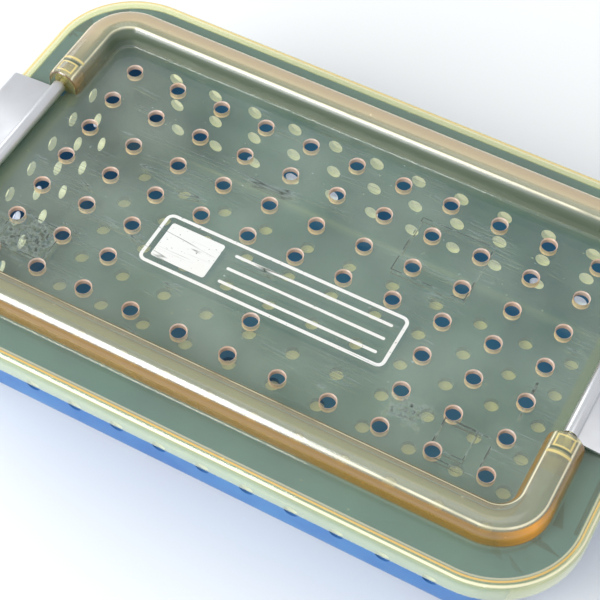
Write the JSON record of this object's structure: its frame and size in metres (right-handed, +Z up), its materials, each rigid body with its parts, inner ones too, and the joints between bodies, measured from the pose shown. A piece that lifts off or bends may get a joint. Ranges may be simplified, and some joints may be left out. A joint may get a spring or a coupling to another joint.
{
  "type": "sterilization tray",
  "caption": "Rectangular perforated tray with a deep tub, a clear lid with a raised hollow rib, and a swinging hooked latch at each short end.",
  "frame": {"origin": "centre of the flat underside of the tub", "axes": "+X along the tray towards the right latch, +Y towards the back, +Z up"},
  "size_m": [0.269, 0.171, 0.0739],
  "materials": {
    "tub": "moulded",
    "lid": "clear",
    "block": "clear",
    "latch": "satin",
    "pin": "ground"
  },
  "bodies": {
    "base": {"base": "tub"},
    "lid": {"lid": "lid", "hinge_pin_left": "pin", "hinge_pin_right": "pin", "pin_block_front_left": "block", "pin_block_front_right": "block", "pin_block_back_left": "block", "pin_block_back_right": "block"},
    "latch_left": {"latch_left": "latch"},
    "latch_right": {"latch_right": "latch"}
  },
  "joints": [
    {"name": "lid_lift", "type": "slide", "parent": "base", "child": "lid", "axis": [0, 0, 1], "range_m": [0, 0.025]},
    {"name": "latch_left_open", "type": "hinge", "parent": "lid", "child": "latch_left", "pos_m": [-0.1134, 0, 0.0686], "axis": [0, 1, 0], "range_deg": [0, 150]},
    {"name": "latch_right_open", "type": "hinge", "parent": "lid", "child": "latch_right", "pos_m": [0.1134, 0, 0.0686], "axis": [0, -1, 0], "range_deg": [0, 150]}
  ],
  "couplings": [
    {"joint": "latch_left_open", "follows": "lid_lift", "rad_per_m": 104.71},
    {"joint": "latch_right_open", "follows": "lid_lift", "rad_per_m": 104.71}
  ]
}
